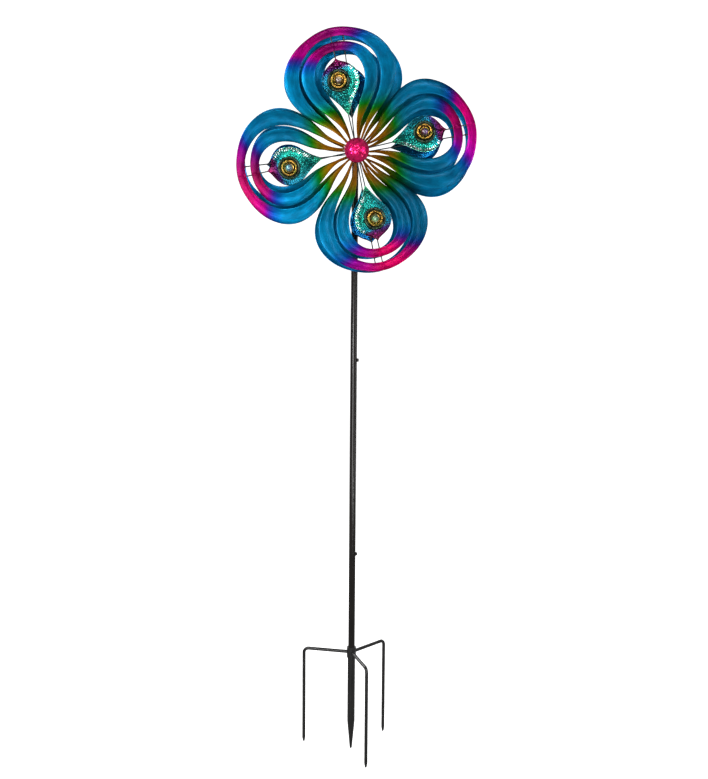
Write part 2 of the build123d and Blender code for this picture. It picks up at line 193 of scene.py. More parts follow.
class Nodes:
    """A small builder for node materials."""

    def __init__(self, name):
        self.mat = bpy.data.materials.new(name)
        self.mat.use_nodes = True
        self.nt = self.mat.node_tree
        self.nt.nodes.clear()
        self.out = self.nt.nodes.new("ShaderNodeOutputMaterial")
        self.b = self.nt.nodes.new("ShaderNodeBsdfPrincipled")
        self.nt.links.new(self.b.outputs[0], self.out.inputs[0])

    def set(self, **kw):
        names = {"color": "Base Color", "metallic": "Metallic", "rough": "Roughness", "coat": "Coat Weight",
                 "coat_rough": "Coat Roughness", "ior": "IOR", "spec": "Specular IOR Level",
                 "trans": "Transmission Weight", "sheen": "Sheen Weight", "sss": "Subsurface Weight"}
        for k, v in kw.items():
            s = self.b.inputs[names[k]]
            if hasattr(v, "is_output"):
                self.nt.links.new(v, s)
            elif k == "color":
                s.default_value = (*v, 1.0)
            else:
                s.default_value = v
        return self

    def attr(self, name, out="Color"):
        n = self.nt.nodes.new("ShaderNodeAttribute")
        n.attribute_type = "GEOMETRY"
        n.attribute_name = name
        return n.outputs[out]

    def coords(self):
        return self.nt.nodes.new("ShaderNodeTexCoord").outputs["Object"]

    def mapping(self, vec, scale=(1, 1, 1), loc=(0, 0, 0)):
        n = self.nt.nodes.new("ShaderNodeMapping")
        self.nt.links.new(vec, n.inputs["Vector"])
        n.inputs["Scale"].default_value = scale
        n.inputs["Location"].default_value = loc
        return n.outputs[0]

    def noise(self, vec, scale, detail=4.0, rough=0.55, distort=0.0):
        n = self.nt.nodes.new("ShaderNodeTexNoise")
        self.nt.links.new(vec, n.inputs["Vector"])
        n.inputs["Scale"].default_value = scale
        n.inputs["Detail"].default_value = detail
        n.inputs["Roughness"].default_value = rough
        n.inputs["Distortion"].default_value = distort
        return n.outputs["Fac"]

    def voronoi(self, vec, scale, feature="F1"):
        n = self.nt.nodes.new("ShaderNodeTexVoronoi")
        n.feature = feature
        self.nt.links.new(vec, n.inputs["Vector"])
        n.inputs["Scale"].default_value = scale
        return n.outputs["Distance"], n.outputs.get("Color")

    def span(self, fac, lo, hi, a=0.0, b=1.0):
        """Maps fac from a..b to lo..hi, clamped."""
        n = self.nt.nodes.new("ShaderNodeMapRange")
        n.clamp = True
        self.nt.links.new(fac, n.inputs["Value"])
        n.inputs["From Min"].default_value = a
        n.inputs["From Max"].default_value = b
        n.inputs["To Min"].default_value = lo
        n.inputs["To Max"].default_value = hi
        return n.outputs[0]

    def mix(self, fac, a, b, mode="MIX"):
        n = self.nt.nodes.new("ShaderNodeMix")
        n.data_type = "RGBA"
        n.blend_type = mode
        n.clamp_factor = True
        ins = [i for i in n.inputs if i.type == "RGBA"]
        for s, v in ((n.inputs[0], fac), (ins[0], a), (ins[1], b)):
            if hasattr(v, "is_output"):
                self.nt.links.new(v, s)
            elif s.type == "RGBA":
                s.default_value = (*v, 1.0)
            else:
                s.default_value = v
        return [o for o in n.outputs if o.type == "RGBA"][0]

    def math(self, op, a, b):
        n = self.nt.nodes.new("ShaderNodeMath")
        n.operation = op
        for s, v in zip(n.inputs, (a, b)):
            if hasattr(v, "is_output"):
                self.nt.links.new(v, s)
            else:
                s.default_value = v
        return n.outputs[0]

    def hsv(self, col, value=1.0, sat=1.0, hue=0.5):
        n = self.nt.nodes.new("ShaderNodeHueSaturation")
        self.nt.links.new(col, n.inputs["Color"])
        for key, v in (("Value", value), ("Saturation", sat), ("Hue", hue)):
            if hasattr(v, "is_output"):
                self.nt.links.new(v, n.inputs[key])
            else:
                n.inputs[key].default_value = v
        return n.outputs[0]

    def bump(self, height, strength=0.3, dist=0.0005, prev=None):
        n = self.nt.nodes.new("ShaderNodeBump")
        n.inputs["Strength"].default_value = strength
        n.inputs["Distance"].default_value = dist
        self.nt.links.new(height, n.inputs["Height"])
        if prev is not None:
            self.nt.links.new(prev, n.inputs["Normal"])
        return n.outputs[0]

    def normal(self, n):
        self.nt.links.new(n, self.b.inputs["Normal"])
        return self


# ------------------------------------------------------------------ materials
def loop_paint():
    """Translucent colour lacquer over brushed sheet metal: streaks run along the band."""
    m = Nodes("painted_loops")
    tint, flow = m.attr("tint"), m.attr("flow", "Vector")
    streak = m.noise(m.mapping(flow, (0.55, 5.5, 1.0)), 1.0, 4.0, 0.55)
    broad = m.noise(m.mapping(flow, (0.9, 1.6, 1.0), (3, 7, 0)), 1.0, 2.0, 0.5)
    obj = m.coords()
    fleck = m.noise(obj, 420.0, 3.0, 0.6)
    mult = m.math("MULTIPLY", m.span(streak, 0.86, 1.17, 0.30, 0.70), m.span(broad, 0.72, 1.26, 0.30, 0.70))
    mult = m.math("MULTIPLY", mult, m.span(fleck, 0.86, 1.14, 0.3, 0.7))
    col = m.hsv(tint, value=mult, sat=m.span(streak, 1.07, 0.985, 0.35, 0.7))
    m.set(color=col, metallic=1.0, rough=m.span(fleck, 0.30, 0.44, 0.25, 0.75), coat=0.06, coat_rough=0.2)
    n1 = m.bump(streak, 0.35, 0.0008)
    m.normal(m.bump(fleck, 0.10, 0.0003, n1))
    return m.mat


def plate_paint():
    m = Nodes("hammered_plates")
    tint = m.attr("tint")
    obj = m.coords()
    blot = m.noise(obj, 95.0, 4.0, 0.6)
    fine = m.noise(obj, 700.0, 3.0, 0.6)
    col = m.hsv(tint, value=m.math("MULTIPLY", m.span(blot, 0.66, 1.38, 0.3, 0.7), m.span(fine, 0.9, 1.1, 0.3, 0.7)))
    m.set(color=col, metallic=1.0, rough=m.span(blot, 0.10, 0.22, 0.3, 0.7), coat=0.15, coat_rough=0.06)
    m.normal(m.bump(fine, 0.12, 0.0003))
    return m.mat


def ring_dark():
    m = Nodes("eye_ring_dark")
    obj = m.coords()
    a = m.noise(obj, 150.0, 4.0, 0.6)
    col = m.mix(m.span(a, 0, 1, 0.35, 0.65), tuple(lin((2, 12, 5))), tuple(lin((14, 54, 24))))
    m.set(color=col, metallic=0.9, rough=m.span(a, 0.12, 0.22, 0.3, 0.7), coat=0.45, coat_rough=0.05)
    m.normal(m.bump(m.noise(obj, 520.0, 3.0, 0.6), 0.2, 0.0003))
    return m.mat


def ring_gold():
    m = Nodes("eye_ring_gold")
    obj = m.coords()
    a = m.noise(obj, 210.0, 4.0, 0.6)
    col = m.mix(m.span(a, 0, 1, 0.32, 0.66), tuple(lin((46, 28, 4))), tuple(lin((206, 156, 70))))
    col = m.mix(m.span(m.noise(obj, 85.0, 2.0, 0.5), 0.0, 0.75, 0.45, 0.65), col, tuple(lin((58, 84, 22))))
    m.set(color=col, metallic=1.0, rough=m.span(a, 0.10, 0.22, 0.3, 0.7), coat=0.1, coat_rough=0.08)
    m.normal(m.bump(m.noise(obj, 600.0, 3.0, 0.6), 0.2, 0.0003))
    return m.mat


def jewel_glass():
    m = Nodes("jewels")
    tint = m.attr("tint")
    obj = m.coords()
    swirl = m.noise(obj, 190.0, 3.0, 0.5, 1.2)
    col = m.hsv(tint, value=m.span(swirl, 0.6, 1.5, 0.3, 0.7), hue=m.span(swirl, 0.46, 0.54, 0.3, 0.7))
    m.set(color=col, metallic=0.30, spec=0.75, ior=1.8, rough=m.span(swirl, 0.09, 0.16, 0.3, 0.7), coat=1.0, coat_rough=0.03)
    return m.mat


def dome_paint():
    m = Nodes("dome_cap")
    obj = m.coords()
    a = m.noise(obj, 120.0, 4.0, 0.6)
    fine = m.noise(obj, 800.0, 2.0, 0.5)
    col = m.mix(m.span(a, 0, 1, 0.35, 0.65), tuple(lin((196, 0, 74))), tuple(lin((250, 8, 112))))
    m.set(color=col, metallic=0.9, rough=m.span(a, 0.14, 0.26, 0.3, 0.7), coat=0.45, coat_rough=0.06)
    m.normal(m.bump(fine, 0.08, 0.0003))
    return m.mat


def black_paint(name, base, spread, rough=(0.26, 0.42), wear=0.0, coat=0.35, spec=0.42):
    """Bronze-black powder coat: fine orange peel, faint scuffs."""
    m = Nodes(name)
    obj = m.coords()
    peel = m.noise(obj, 900.0, 2.0, 0.5)
    cloud = m.noise(m.mapping(obj, (1, 1, 0.25)), 60.0, 4.0, 0.6)
    scuff = m.noise(m.mapping(obj, (1.0, 1.0, 0.06)), 420.0, 4.0, 0.65)
    col = m.mix(m.span(cloud, 0, 1, 0.3, 0.7), tuple(lin(base)), tuple(lin(spread)))
    if wear > 0:
        col = m.mix(m.span(scuff, 0.0, wear, 0.60, 0.75), col, tuple(lin((120, 108, 98))))
    m.set(color=col, metallic=0.0, spec=spec, rough=m.span(cloud, rough[0], rough[1], 0.3, 0.7), coat=coat, coat_rough=0.12)
    m.normal(m.bump(peel, 0.16, 0.0003))
    return m.mat


def bare_metal(name, dark, light, scale=140.0, rough=(0.28, 0.5)):
    m = Nodes(name)
    obj = m.coords()
    a = m.noise(obj, scale, 5.0, 0.6)
    d, c = m.voronoi(obj, scale * 2.2)
    col = m.mix(m.span(a, 0, 1, 0.3, 0.7), tuple(lin(dark)), tuple(lin(light)))
    col = m.hsv(col, value=m.span(d, 0.9, 1.12, 0.1, 0.6))
    m.set(color=col, metallic=1.0, rough=m.span(a, rough[0], rough[1], 0.3, 0.7))
    m.normal(m.bump(a, 0.15, 0.0003))
    return m.mat


def plastic(name, dark, light):
    m = Nodes(name)
    obj = m.coords()
    a = m.noise(obj, 300.0, 4.0, 0.6)
    m.set(color=m.mix(m.span(a, 0, 1, 0.3, 0.7), tuple(lin(dark)), tuple(lin(light))),
          rough=m.span(a, 0.4, 0.55, 0.3, 0.7))
    m.normal(m.bump(m.noise(obj, 1600.0, 2.0, 0.5), 0.15, 0.0002))
    return m.mat


LOOPS, PLATES, JEWELS, DOME = loop_paint(), plate_paint(), jewel_glass(), dome_paint()
RING_DARK, RING_GOLD = ring_dark(), ring_gold()
POLE = black_paint("pole_black", (9, 7, 6), (22, 17, 15), (0.08, 0.15), 0.06, 0.10, 0.27)
BASE = black_paint("base_black", (8, 8, 8), (18, 17, 17), (0.24, 0.42), 0.14, 0.12)
RODS = black_paint("rod_black", (8, 18, 22), (20, 36, 40), (0.28, 0.45), 0.06, 0.12)
HUB = black_paint("hub_black", (26, 28, 32), (50, 54, 58), (0.30, 0.50), 0.25)
SCREW = black_paint("screw_black", (26, 24, 24), (46, 42, 40), (0.25, 0.4), 0.25)
WELD = black_paint("weld_black", (16, 26, 28), (44, 60, 60), (0.35, 0.6), 0.2)
ZINC = bare_metal("zinc_hardware", (120, 122, 126), (190, 192, 196))
NYLON = plastic("bushes", (176, 170, 156), (214, 208, 194))
PLUG = plastic("plug", (14, 14, 15), (26, 26, 28))


# ------------------------------------------------------------------ loop colours
SIDE_KEYS = [(6, (132, 76, 40)), (16, (136, 80, 22)), (24, (140, 84, 4)), (31, (136, 92, 2)), (36, (104, 100, 2)),
             (40, (50, 108, 4)), (43, (4, 118, 40)), (47, (0, 122, 104)), (53, (0, 120, 150)), (62, (0, 116, 160)),
             (72, (0, 124, 172)), (84, (0, 130, 180)), (95, (0, 122, 176))]
SIDE_SHIFT = {"inner": 1.2, "outer": -5.0}
ENDS = {  # lobe: (left limit, right limit) of the magenta zone, px units, outer and inner
    0: ((-35, 38), (-25, 23)), 1: ((-45, 28), (-27, 16)),
    2: ((-44, 32), (-28, 21)), 3: ((-40, 38), (-27, 26))}
CRIMSON = {0: ((236, 6, 128), (184, 3, 110)), 1: ((146, 1, 94), (114, 2, 84)), 2: ((194, 6, 98), (158, 2, 84)),
           3: ((252, 24, 112), (216, 14, 98))}
PURPLE = {0: 1.5, 1: 0.55, 2: 0.60, 3: 1.05}
# painted shade: per lobe, (left, right) multipliers that paint one side of the bands lighter and the other darker, for
# how light falls on the tilted lobe
SIDE_SHADE_GAIN = {0: (0.72, 0.69), 1: (0.94, 0.72), 2: (1.30, 0.80), 3: (0.50, 0.94)}
INNER_END = {0: 0.50, 1: 0.72, 2: 0.62, 3: 0.92}


def loop_tint(side, k, kind, u, y):
    """Colour along a loop. u is the signed path from the outer end, y the outward distance, both in outline units."""
    ysh = SIDE_SHIFT[kind]
    base = keyed(y - ysh, SIDE_KEYS)
    (lo, hi) = ENDS[k][0 if kind == "outer" else 1]
    j = waves(y / 60.0, 31 + k + (7 if kind == "inner" else 0)) * 1.5
    keys = [(lo - 16, (0, 124, 176)), (lo - 7, (14, 84, 164)), (lo - 1, (66, 44, 146)), (lo + 5, (168, 8, 124)),
            (lo * 0.45, CRIMSON[k][0]), (0.0, CRIMSON[k][1]), (hi * 0.45, (180, 4, 134)), (hi - 6, (150, 12, 150)),
            (hi, (74, 44, 150)), (hi + 6, (16, 88, 168)), (hi + 16, (0, 124, 176))]
    endc = keyed(u + j, keys)
    pur = np.interp(u, [0, hi * 0.4, hi - 2, hi + 6], [1, PURPLE[k], PURPLE[k], 1])
    endc = endc * pur[:, None]
    if kind == "inner":
        endc = endc * np.interp(np.abs(u), [16, 30], [INNER_END[k], 1.0])[:, None]
    wide = 16
    f = np.clip(np.minimum(u - (lo - wide - 6), (hi + wide + 6) - u) / 8.0, 0, 1)[:, None]
    return base * (1 - f) + endc * f


def plain_tint(k, u, y):
    """The undecorated face: teal-blue lacquer, greener towards the hub."""
    base = keyed(y + waves(u / 60.0, 77 + k) * 2.0, [
        (6, (96, 62, 40)), (16, (112, 62, 14)), (26, (98, 70, 6)), (33, (52, 78, 4)), (40, (6, 82, 26)), (47, (0, 84, 78)),
        (56, (0, 90, 118)), (72, (0, 98, 142)), (92, (2, 104, 150)), (124, (6, 92, 140))])
    return base


# ------------------------------------------------------------------ loops
def band_mesh(table, kind, side, k):
    n_st = len(table)
    outer = [p[0] for p in table] + [(-p[0][0], p[0][1]) for p in table[-2::-1]]
    inner = [p[1] for p in table] + [(-p[1][0], p[1][1]) for p in table[-2::-1]]
    total = len(outer)
    rows = (total - 1) * 9 + 1
    t = np.linspace(0, total - 1, rows)
    eo, ei = catmull(outer, t), catmull(inner, t)
    mid = 0.5 * (eo + ei)
    seg = np.concatenate([[0], np.cumsum(np.linalg.norm(np.diff(mid, axis=0), axis=1))])
    u = seg[rows // 2] - seg                    # + on the right half, - on the left
    width = np.linalg.norm(eo - ei, axis=1)
    cols = 19
    s = np.linspace(-1, 1, cols)
    s = np.sign(s) * (1 - (1 - np.abs(s)) ** 1.15)
    crown = np.minimum(width * 0.070, 1.0) * U
    seed = 100 * (side == "rear") + 10 * k + (kind == "inner")
    wav = waves(u / 40.0, seed, 5, 0.5, 2.6) * 0.00022
    roll = waves(u / 50.0, seed + 500, 4, 0.4, 1.6) * 0.035
    S, _ = np.meshgrid(s, t)
    fr = (S + 1) / 2                            # 0 at the inner edge, 1 at the outer
    xy = ei[:, None, :] * (1 - fr[..., None]) + eo[:, None, :] * fr[..., None]
    xy = xy * U
    prof = 1 - np.abs(S) ** 2.2
    w = crown[:, None] * (prof - 0.55) + wav[:, None] * (1 - 0.4 * S ** 2) + roll[:, None] * S * width[:, None] * U * 0.5
    # a shallow rib where the rod is welded behind the outer end
    rib = np.exp(-(xy[..., 0] / 0.0024) ** 2) * (xy[..., 1] > 0.2)
    w = w + 0.0006 * rib
    # flatten to the plane of the hub disc at the stems
    near = np.clip((np.hypot(xy[..., 0], xy[..., 1]) - 0.021) / 0.02, 0, 1)
    w = w * near - 0.00045
    half = SHEET / 2
    front = np.stack([xy[..., 0], xy[..., 1], w + half], -1)
    back = np.stack([xy[..., 0], xy[..., 1], w - half], -1)
    # both faces stop a hair short of the edge, with a rounded bead between
    def edge(idx, nxt):
        e = np.stack([xy[:, idx, 0], xy[:, idx, 1], w[:, idx]], -1)
        return e
    ins = 0.00028
    dvec = (xy[:, 0] - xy[:, -1])
    dvec = dvec / np.maximum(np.linalg.norm(dvec, axis=1, keepdims=True), 1e-9)
    e0, e1 = edge(0, 1), edge(-1, -2)
    front[:, 0, :2] -= dvec * ins
    back[:, 0, :2] -= dvec * ins
    front[:, -1, :2] += dvec * ins
    back[:, -1, :2] += dvec * ins
    # one closed section: front faces, edge, back faces reversed, edge
    sec = np.concatenate([front, e1[:, None], back[:, ::-1], e0[:, None]], 1)
    m = sec.shape[1]
    V = sec.reshape(-1, 3)
    i = np.arange(rows - 1)[:, None] * m
    j = np.arange(m)[None, :]
    jn = (j + 1) % m
    quads = np.stack([i + j, i + m + j, i + m + jn, i + jn], -1).reshape(-1, 4)
    caps = [list(range(m)), [(rows - 1) * m + q for q in range(m - 1, -1, -1)]]
    faces = [tuple(q) for q in quads] + caps
    # colours and flow coordinates
    uu = np.repeat(u[:, None], m, 1)
    yy = sec[..., 1] / U
    vv = np.concatenate([S, np.ones((rows, 1)), S[:, ::-1], -np.ones((rows, 1))], 1) * width[:, None] * 0.5
    isback = np.zeros((rows, m), bool)
    isback[:, cols + 1:cols + 1 + cols] = True
    ends = np.interp(np.abs(uu.ravel()), [18, 48], [0, 1])
    # painted shade: away from the outer end, the decorated face is scaled from left to right by the lobe's side shade
    # gain
    side_shade = np.interp(sec[..., 0].ravel() / U, [-30, 30], SIDE_SHADE_GAIN[k])[:, None] * ends[:, None] + (1 - ends[:, None])
    dec = loop_tint(side, k, kind, uu.ravel(), yy.ravel()) * GAIN * side_shade
    pl = plain_tint(k, uu.ravel(), yy.ravel()) * GAIN * 1.55
    col = np.where(isback.ravel()[:, None], pl, dec)
    # painted highlight: the band edges are painted paler, with a whitish line at the very edge, for light caught on the
    # rounded edges
    edge_highlight_across = np.concatenate([np.abs(S), np.ones((rows, 1)), np.abs(S), np.ones((rows, 1))], 1).ravel()[:, None]
    col = col * (1.0 + 0.34 * np.clip((edge_highlight_across - 0.86) / 0.14, 0, 1))
    col = col + np.clip((edge_highlight_across - 0.95) / 0.05, 0, 1) * 0.014
    flow = np.stack([uu.ravel() * 0.1, vv.ravel() * 0.1,
                     np.full(uu.size, (k * 3.7 + (1.9 if kind == "inner" else 0) + (11 if side == "rear" else 0)))], -1)
    V = place(tilt(V, TILT[side]), side, k)
    return V, faces, np.clip(col, 0, 1), flow


for side in ("front", "rear"):
    for k in range(4):
        for kind, table in (("outer", OUTER_LOOP), ("inner", INNER_LOOP)):
            V, F, C, W = band_mesh(table, kind, side, k)
            make("%s_%s_band_%d" % (side, kind, k + 1), V, F, LOOPS, BODY[side],
                 ["%s_%s_loop_%d" % (side, kind, k + 1)], C, W)


# ------------------------------------------------------------------ hammered plates
def scatter(lo, hi, step, seed):
    """Jittered hexagonal grid of blow marks."""
    r = np.random.default_rng(seed)
    pts = []
    y, row = lo[1], 0
    while y < hi[1]:
        x = lo[0] + (step / 2 if row % 2 else 0)
        while x < hi[0]:
            pts.append((x + r.uniform(-1, 1) * step * 0.28, y + r.uniform(-1, 1) * step * 0.28))
            x += step
        y += step * 0.86
        row += 1
    return np.array(pts)


def blows(xy, seeds, radius, depth, seed):
    """Depth of overlapping round blow marks: the deepest mark wins at each point."""
    r = np.random.default_rng(seed)
    dep = depth * r.uniform(0.65, 1.25, len(seeds))
    rad = radius * r.uniform(0.85, 1.2, len(seeds))
    d = np.linalg.norm(xy[:, None, :] - seeds[None], axis=2)
    h = -dep[None] * (1 - (d / rad[None]) ** 2)
    return np.minimum(h.min(1), 0.0)


def plate_mesh(side, k):
    pts = np.array(TEARDROP)
    half = catmull(pts, np.linspace(0, len(pts) - 1, 420))
    ring = np.concatenate([half, np.stack([-half[-2:0:-1, 0], half[-2:0:-1, 1]], -1)]) * U
    seg = np.concatenate([[0], np.cumsum(np.linalg.norm(np.diff(np.vstack([ring, ring[:1]]), axis=0), axis=1))])
    n = 420
    tt = np.linspace(0, seg[-1], n, endpoint=False)
    closed = np.vstack([ring, ring[:1]])
    Q = np.stack([np.interp(tt, seg, closed[:, 0]), np.interp(tt, seg, closed[:, 1])], -1)
    ctr = np.array([EYE_X, EYE_Y])
    d = Q - ctr
    Cc = ctr + d / np.linalg.norm(d, axis=1, keepdims=True) * 0.0195
    rows = 56
    f = np.linspace(0, 1, rows) ** 0.92
    P = Cc[None] * (1 - f[:, None, None]) + Q[None] * f[:, None, None]
    xy = P.reshape(-1, 2)
    seed = 900 + k + (40 if side == "rear" else 0)
    seeds = scatter((-0.052, 0.080), (0.052, 0.238), 0.0056, seed)
    h = blows(xy, seeds, 0.0043, 0.00058, seed)
    r2 = xy[:, 0] ** 2 + (xy[:, 1] - DISH_Y) ** 2
    base = EYE_APEX - r2 / (2 * EYE_R)
    F = np.repeat(f, n)
    S = np.tile(tt, rows)
    xs = np.clip(xy[:, 0] / 0.040, -1, 1)
    tips = np.clip((np.abs(xy[:, 0]) - 0.004) / 0.012, 0, 1)
    # the high side of the plate is cupped forward, with chased flutes across the cup
    cup = (0.0012 + 0.0034 * np.clip(0.5 + 0.75 * xs, 0, 1)) * np.clip((F - 0.42) / 0.58, 0, 1) ** 1.5 * tips
    rr2 = np.random.default_rng(seed + 5)
    phase = S / 0.0062 + 0.18 * np.sin(S / 0.021 + rr2.uniform(0, 6))
    win = np.sin(np.clip((F - 0.40) / 0.58, 0, 1) * math.pi) ** 0.7
    flute = -0.00100 * (0.5 - 0.5 * np.cos(2 * math.pi * phase)) ** 1.6 * win * (0.45 + 0.55 * np.clip(0.5 + xs, 0, 1)) * tips
    edge = np.clip((F - 0.93) / 0.07, 0, 1)
    blend = 1 - np.clip((F - 0.90) / 0.06, 0, 1)
    form = base + cup + flute
    top = form + h * blend * (1 - 0.5 * win) + 0.0005 * np.sin(edge * math.pi)
    bot = form - 0.0012 + h * 0.5 * blend
    Vf = np.column_stack([xy, top])
    Vb = np.column_stack([xy, np.minimum(bot, top - 0.0005)])
    V = np.vstack([Vf, Vb])
    N = rows * n
    i = np.arange(rows - 1)[:, None] * n
    j = np.arange(n)[None]
    jn = (j + 1) % n
    qf = np.stack([i + j, i + n + j, i + n + jn, i + jn], -1).reshape(-1, 4)
    qb = qf[:, ::-1] + N
    j = np.arange(n)
    jn = (j + 1) % n
    o = (rows - 1) * n
    rim = np.stack([o + j, N + o + j, N + o + jn, o + jn], -1)
    core = np.stack([j, jn, N + jn, N + j], -1)
    faces = [tuple(q) for q in np.vstack([qf, qb, rim, core])]
    yy = xy[:, 1] / U
    # painted light: the plate's own teal-to-emerald paint, painted lighter towards the raised +x side for the light its
    # cup catches
    lit_side = np.clip(0.5 + 0.5 * xs, 0, 1)[:, None]
    low = keyed(yy, [(35, (18, 88, 24)), (41, (6, 88, 70)), (48, (4, 86, 100)), (60, (4, 88, 106)), (72, (4, 90, 116)), (84, (4, 88, 126))])
    high = keyed(yy, [(35, (18, 104, 34)), (41, (8, 116, 84)), (50, (14, 138, 118)), (60, (26, 164, 142)), (72, (34, 170, 148)), (84, (10, 130, 150))])
    col = low * (1 - lit_side) + high * lit_side
    mag = keyed(yy, [(70, (44, 34, 116)), (82, (52, 24, 88)), (86, (84, 6, 62)), (94, (104, 8, 50))])
    t = np.clip((yy - xs * 2.6 - 79.5 + waves(xy[:, 0] / 0.03 + k, seed) * 0.8) / 3.6, 0, 1)[:, None]
    t = t * t * (3 - 2 * t)
    col = (col * (1 - t) + mag * t) * GAIN * 1.20
    col = col * (0.84 + 0.36 * np.clip(-h / 0.0006, 0, 1))[:, None]
    # painted highlight: a pale mint band along the outer rim, stronger on the raised +x side
    rim_highlight = (np.clip((F - 0.90) / 0.08, 0, 1) * np.clip(0.25 + 0.6 * xs, 0, 1))[:, None] * (1 - t)
    col = col * (1 - 0.6 * rim_highlight) + lin((130, 226, 196)) * 0.6 * rim_highlight
    # painted highlight: near-white glints painted on the chased strokes of the raised side, and along the fold beside
    # the eye
    cell = np.floor(phase).astype(int)
    lot = np.random.default_rng(seed + 9).uniform(0, 1, (int(phase.max()) + 4, 3))[np.clip(cell, 0, None)]
    off = (phase - cell - 0.5) / (0.16 + 0.12 * lot[:, 2])
    f0 = 0.66 + 0.18 * lot[:, 0]
    f1 = f0 + 0.12 + 0.20 * lot[:, 1]
    stroke_glint = np.exp(-off ** 2) * np.clip((F - f0) / 0.05, 0, 1) * np.clip((f1 - F) / 0.05, 0, 1)
    stroke_glint *= np.clip((xs - 0.20) / 0.25, 0, 1) * (lot[:, 1] > 0.22) * (1 - t[:, 0])
    fold_glint = np.exp(-((F - 0.80 - 0.05 * np.sin(S / 0.013 + seed)) / 0.030) ** 2) * np.clip((xs - 0.10) / 0.2, 0, 1)
    fold_glint *= np.clip(0.2 + waves(S / 0.030, seed + 3, 5, 0.5, 2.2) * 1.2, 0, 1) * (1 - t[:, 0])
    painted_glint = np.clip(np.maximum(stroke_glint, 0.55 * fold_glint), 0, 1)[:, None]
    col = col * (1 - painted_glint) + np.array([0.94, 1.0, 0.98]) * painted_glint
    backc = keyed(yy, [(35, (6, 70, 60)), (50, (0, 82, 110)), (72, (0, 86, 134)), (94, (4, 76, 124))]) * GAIN * 2.3
    C = np.vstack([col, backc])
    V = place(tilt(V, TILT[side]), side, k)
    return V, faces, np.clip(C, 0, 1)


for side in ("front", "rear"):
    for k in range(4):
        V, F, C = plate_mesh(side, k)
        make("%s_teardrop_plate_%d" % (side, k + 1), V, F, PLATES, BODY[side],
             ["%s_eye_plate_%d" % (side, k + 1)], C)


# ------------------------------------------------------------------ eye bosses and jewels
def lathe(profile, seg):
    """Closed lathe from (r, w) points. Points with r = 0 become poles."""
    V, rings = [], []
    for r, w in profile:
        if r < 1e-7:
            rings.append([len(V)])
            V.append((0, 0, w))
        else:
            rings.append(list(range(len(V), len(V) + seg)))
            for j in range(seg):
                a = 2 * math.pi * j / seg
                V.append((r * math.cos(a), r * math.sin(a), w))
    F, idx = [], []
    for q in range(len(rings) - 1):
        a, b = rings[q], rings[q + 1]
        if len(a) == 1 and len(b) == 1:
            continue
        for j in range(seg):
            jn = (j + 1) % seg
            if len(a) == 1:
                F.append((a[0], b[jn], b[j]))
            elif len(b) == 1:
                F.append((a[j], a[jn], b[0]))
            else:
                F.append((a[j], a[jn], b[jn], b[j]))
            idx.append(q)
    return np.array(V, float), F, idx


def smooth_profile(pts, per=4):
    t = np.linspace(0, len(pts) - 1, (len(pts) - 1) * per + 1)
    return catmull(pts, t)


def boss_mesh(side, k):
    ap = EYE_APEX * 1000
    crown = [(28.6, ap + 1.8), (28.3, ap + 3.0), (27.3, ap + 4.2), (25.8, ap + 4.9), (24.2, ap + 4.9), (22.7, ap + 4.3),
             (21.8, ap + 3.5), (21.2, ap + 3.7), (20.9, ap + 4.9), (20.4, ap + 6.6), (19.6, ap + 8.0), (18.4, ap + 9.0),
             (17.0, ap + 9.3), (15.6, ap + 8.9), (14.4, ap + 7.8), (13.4, ap + 6.3), (12.6, ap + 5.0), (11.6, ap + 4.2),
             (10.2, ap + 3.8), (8.8, ap + 3.7)]
    top = smooth_profile(crown, 3)
    prof = [(0.0, ap - 0.4), (14.0, ap - 0.5), (28.2, ap - 0.9), (28.6, ap - 0.6)] + [tuple(p) for p in top] + [(0.0, ap + 3.7)]
    seg = 132
    V, F, idx = lathe([(r / 1000, w / 1000) for r, w in prof], seg)
    r = np.hypot(V[:, 0], V[:, 1])
    a = np.arctan2(V[:, 1], V[:, 0])
    rr = np.random.default_rng(70 + k + (10 if side == "rear" else 0))
    ph = rr.uniform(0, 6.28)
    # beads hammered into the gold ring, softer dents in the dark one
    gold = np.exp(-((r - 0.0175) / 0.0026) ** 2)
    dark = np.exp(-((r - 0.0243) / 0.0020) ** 2)
    bead = np.abs(np.sin(a * 17 + ph + 0.25 * np.sin(a * 3))) ** 0.8
    V[:, 2] += np.where(V[:, 2] > EYE_APEX + 0.0015, -0.00034 * (1 - bead) * gold - 0.00015 * (1 - np.abs(np.sin(a * 9 + ph))) * dark, 0)
    V[:, 0] += EYE_X
    V[:, 1] += EYE_Y
    rings_r = np.array([p[0] for p in prof])
    mi = [1 if (10.4 <= 0.5 * (rings_r[q] + rings_r[q + 1]) <= 20.2 and q > 4) else 0 for q in idx]
    return place(tilt(V, TILT[side]), side, k), F, mi


